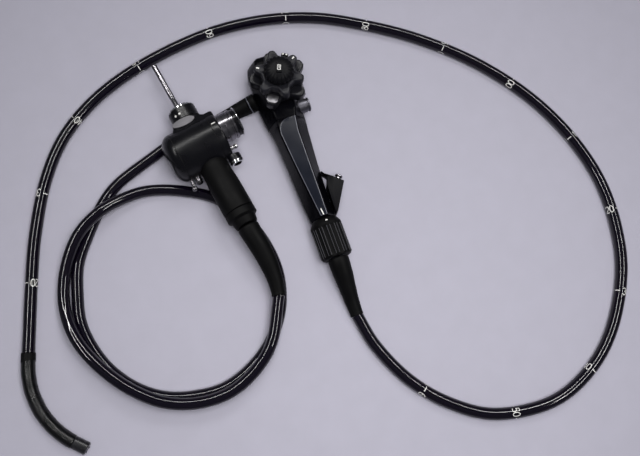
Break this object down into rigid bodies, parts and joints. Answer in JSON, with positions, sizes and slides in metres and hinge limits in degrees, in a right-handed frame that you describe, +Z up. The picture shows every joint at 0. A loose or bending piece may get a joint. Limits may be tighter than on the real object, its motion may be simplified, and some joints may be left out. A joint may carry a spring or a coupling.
{
  "type": "flexible endoscope",
  "caption": "Black flexible endoscope with two lobed angulation knobs, a long marked insertion tube with a bending tip, and a universal cord coiled to a light connector.",
  "frame": {"origin": "on the plane the scope lies on, under the shared axis of the two angulation knobs", "axes": "+Z up along the knob axis, -Y along the grip to the insertion tube, +X to the valve and channel side"},
  "size_m": [0.7051, 0.5594, 0.0865],
  "materials": {
    "black_plastic": "fine satin black moulding",
    "gloss_black": "smooth glossy black polymer jacket",
    "soft_black": "matt black rubber and soft moulding",
    "panel_grey": "gloss dark blue-grey",
    "steel": "fine turned stainless steel",
    "chrome": "polished",
    "aluminium": "brushed",
    "glass": "polished lens"
  },
  "bodies": {
    "scope": {"air_water_cylinder": "steel", "bending_collar": "soft_black", "channel_branch": "black_plastic", "channel_mouthpiece": "steel", "chassis_plate": "aluminium", "chrome_rim": "chrome", "connector_body": "black_plastic", "connector_boot": "soft_black", "connector_cap": "soft_black", "connector_head": "black_plastic", "connector_ring": "soft_black", "connector_sleeve": "soft_black", "cord_boot": "soft_black", "cord_boot_collar": "soft_black", "earth_post": "steel", "grip_panel": "panel_grey", "grip_shell": "black_plastic", "head_base_cover": "soft_black", "head_housing": "black_plastic", "head_plate": "aluminium", "insertion_boot": "soft_black", "insertion_tube": "gloss_black", "light_guide_pin": "steel", "lock_shaft": "steel", "ring_spindle": "steel", "side_port": "black_plastic", "side_port_lip": "chrome", "socket_core": "gloss_black", "socket_rim": "gloss_black", "socket_shell": "steel", "suction_cylinder": "steel", "suction_nipple": "steel", "universal_cord": "gloss_black", "vent_stud": "steel"},
    "ud_lock": {"ud_lock_lever": "black_plastic"},
    "ud_control": {"ud_knob": "soft_black", "ud_shaft": "steel", "ud_sprocket": "steel"},
    "rl_control": {"rl_knob": "soft_black", "rl_shaft": "steel", "rl_sprocket": "steel"},
    "rl_lock": {"rl_lock_knob": "soft_black"},
    "stiffness": {"stiffness_ring": "soft_black"},
    "switch_1": {"remote_switch_1": "soft_black"},
    "switch_2": {"remote_switch_2": "soft_black"},
    "bend_01": {"bending_ring_01": "soft_black"},
    "bend_02": {"bending_ring_02": "soft_black"},
    "bend_03": {"bending_ring_03": "soft_black"},
    "bend_04": {"bending_ring_04": "soft_black"},
    "bend_05": {"bending_ring_05": "soft_black"},
    "bend_06": {"bending_ring_06": "soft_black"},
    "bend_07": {"bending_ring_07": "soft_black"},
    "bend_08": {"bending_ring_08": "soft_black"},
    "bend_09": {"bending_ring_09": "soft_black"},
    "bend_10": {"bending_ring_10": "soft_black", "distal_tip": "panel_grey", "objective_lens": "glass", "light_lens_left": "glass", "light_lens_right": "glass", "water_nozzle": "steel"}
  },
  "joints": [
    {"name": "ud_lock_turn", "type": "hinge", "parent": "scope", "child": "ud_lock", "pos_m": [0, 0, 0.0428], "axis": [0, 0, 1], "range_deg": [0, 55]},
    {"name": "ud_knob_turn", "type": "hinge", "parent": "scope", "child": "ud_control", "pos_m": [0, 0, 0.0466], "axis": [0, 0, 1], "range_deg": [-112.5, 67.5]},
    {"name": "rl_knob_turn", "type": "hinge", "parent": "scope", "child": "rl_control", "pos_m": [0, 0, 0.0617], "axis": [0, 0, 1], "range_deg": [-57.5, 102.5]},
    {"name": "rl_lock_turn", "type": "hinge", "parent": "scope", "child": "rl_lock", "pos_m": [0, 0, 0.075], "axis": [0, 0, 1], "range_deg": [0, 90]},
    {"name": "stiffness_turn", "type": "hinge", "parent": "scope", "child": "stiffness", "pos_m": [-0.0013, -0.18625, 0.0195], "axis": [0, -1, 0], "range_deg": [0, 100]},
    {"name": "switch_1_press", "type": "slide", "parent": "scope", "child": "switch_1", "axis": [0, -1, 0], "range_m": [0, 0.0018], "stiffness_N_per_m": 250, "springref_m": -0.001},
    {"name": "switch_2_press", "type": "slide", "parent": "scope", "child": "switch_2", "axis": [0, -1, 0], "range_m": [0, 0.0018], "stiffness_N_per_m": 250, "springref_m": -0.001},
    {"name": "bend_01_turn", "type": "hinge", "parent": "scope", "child": "bend_01", "pos_m": [-0.35302, -0.20858, 0.0079], "axis": [-0.6799, 0.1943, 0.7071], "range_deg": [-45.1, 27.1]},
    {"name": "bend_02_turn", "type": "hinge", "parent": "bend_01", "child": "bend_02", "pos_m": [-0.3554, -0.21909, 0.0085], "axis": [-0.6994, 0.1182, -0.7049], "range_deg": [-23.1, 41.1]},
    {"name": "bend_03_turn", "type": "hinge", "parent": "bend_02", "child": "bend_03", "pos_m": [-0.35661, -0.22981, 0.0079], "axis": [-0.706, 0.0395, 0.7071], "range_deg": [-45.1, 27.1]},
    {"name": "bend_04_turn", "type": "hinge", "parent": "bend_03", "child": "bend_04", "pos_m": [-0.35662, -0.24059, 0.00849], "axis": [-0.7082, -0.0385, -0.705], "range_deg": [-23.1, 41.1]},
    {"name": "bend_05_turn", "type": "hinge", "parent": "bend_04", "child": "bend_05", "pos_m": [-0.35543, -0.25131, 0.00788], "axis": [-0.6974, -0.1172, 0.707], "range_deg": [-45.1, 27.1]},
    {"name": "bend_06_turn", "type": "hinge", "parent": "bend_05", "child": "bend_06", "pos_m": [-0.35306, -0.26183, 0.00848], "axis": [-0.6823, -0.1932, -0.7051], "range_deg": [-23.1, 41.1]},
    {"name": "bend_07_turn", "type": "hinge", "parent": "bend_06", "child": "bend_07", "pos_m": [-0.34954, -0.27203, 0.00787], "axis": [-0.6546, -0.2681, 0.7069], "range_deg": [-45.1, 27.1]},
    {"name": "bend_08_turn", "type": "hinge", "parent": "bend_07", "child": "bend_08", "pos_m": [-0.34492, -0.28177, 0.00846], "axis": [-0.623, -0.3385, -0.7052], "range_deg": [-23.1, 41.1]},
    {"name": "bend_09_turn", "type": "hinge", "parent": "bend_08", "child": "bend_09", "pos_m": [-0.33924, -0.29093, 0.00784], "axis": [-0.5795, -0.4059, 0.7067], "range_deg": [-45.1, 27.1]},
    {"name": "bend_10_turn", "type": "hinge", "parent": "bend_09", "child": "bend_10", "pos_m": [-0.33259, -0.29942, 0.00843], "axis": [-0.5331, -0.4671, -0.7054], "range_deg": [-23.1, 41.1]}
  ],
  "couplings": [
    {"joint": "bend_01_turn", "follows": "ud_knob_turn", "ratio": 0.4},
    {"joint": "bend_02_turn", "follows": "rl_knob_turn", "ratio": 0.4},
    {"joint": "bend_03_turn", "follows": "ud_knob_turn", "ratio": 0.4},
    {"joint": "bend_04_turn", "follows": "rl_knob_turn", "ratio": 0.4},
    {"joint": "bend_05_turn", "follows": "ud_knob_turn", "ratio": 0.4},
    {"joint": "bend_06_turn", "follows": "rl_knob_turn", "ratio": 0.4},
    {"joint": "bend_07_turn", "follows": "ud_knob_turn", "ratio": 0.4},
    {"joint": "bend_08_turn", "follows": "rl_knob_turn", "ratio": 0.4},
    {"joint": "bend_09_turn", "follows": "ud_knob_turn", "ratio": 0.4},
    {"joint": "bend_10_turn", "follows": "rl_knob_turn", "ratio": 0.4}
  ]
}
